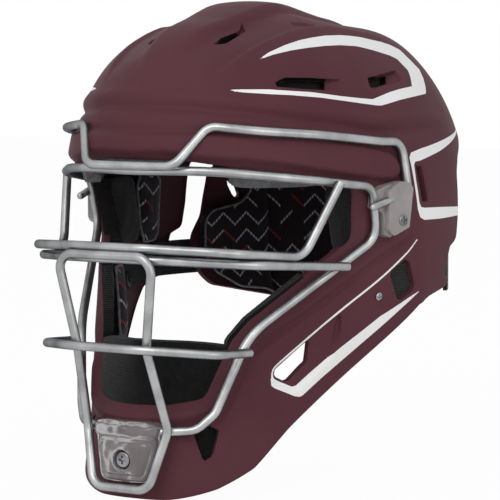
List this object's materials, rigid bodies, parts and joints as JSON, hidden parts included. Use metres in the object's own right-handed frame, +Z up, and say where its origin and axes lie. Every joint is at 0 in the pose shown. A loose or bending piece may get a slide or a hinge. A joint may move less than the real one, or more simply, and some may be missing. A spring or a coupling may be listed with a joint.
{
  "type": "catcher helmet",
  "caption": "Hockey-style baseball catcher helmet: hard shell with welded wire face cage, padded liner and a sliding, tilting rear plate.",
  "frame": {"origin": "in the head cavity, on the middle plane, level with the side clips and above the chin's middle", "axes": "-Y towards the face, +X towards the wearer's left, +Z up"},
  "size_m": [0.2164, 0.2938, 0.2674],
  "materials": {
    "shell": "matte maroon",
    "cage": "satin silver",
    "clip": "clear smoky",
    "screw": "bright",
    "pad": "black knit over foam",
    "patterned_pad": "black knit with a printed line pattern",
    "webbing": "black elastic webbing",
    "buckle": "black moulded"
  },
  "bodies": {
    "shell": {"front_shell": "shell", "cage_rim_wire": "cage", "cage_brow_wire": "cage", "cage_eye_bar": "cage", "cage_cross_bar": "cage", "cage_lower_bar": "cage", "cage_centre_loop": "cage", "cage_stub_wires": "cage", "left_side_clip": "clip", "left_clip_cover": "clip", "right_side_clip": "clip", "right_clip_cover": "clip", "side_clip_screws": "screw", "side_clip_nuts": "screw", "chin_clip": "clip", "chin_clip_screw": "screw", "chin_clip_nut": "screw", "forehead_pad_centre": "pad", "chin_pad": "pad", "crown_pad_centre": "pad", "left_forehead_pad": "pad", "left_temple_pad": "pad", "left_jaw_pad": "pad", "left_crown_pad": "pad", "left_side_pad": "patterned_pad", "left_side_strap": "webbing", "right_forehead_pad": "pad", "right_temple_pad": "pad", "right_jaw_pad": "pad", "right_crown_pad": "pad", "right_side_pad": "patterned_pad", "right_side_strap": "webbing", "strap_screws": "screw", "strap_nuts": "screw"},
    "buckles": {"left_strap_buckle": "buckle", "right_strap_buckle": "buckle"},
    "plate": {"rear_plate": "shell", "left_rear_pad": "patterned_pad", "right_rear_pad": "patterned_pad", "occiput_pad": "pad"}
  },
  "joints": [
    {"name": "plate_slide", "type": "slide", "parent": "shell", "child": "buckles", "axis": [0, 0.8944, -0.4472], "range_m": [0, 0.016], "deforming": ["left_side_strap", "right_side_strap"]},
    {"name": "plate_tilt", "type": "hinge", "parent": "buckles", "child": "plate", "pos_m": [0, 0.0748, -0.012], "axis": [1, 0, 0], "range_deg": [0, 6]}
  ]
}
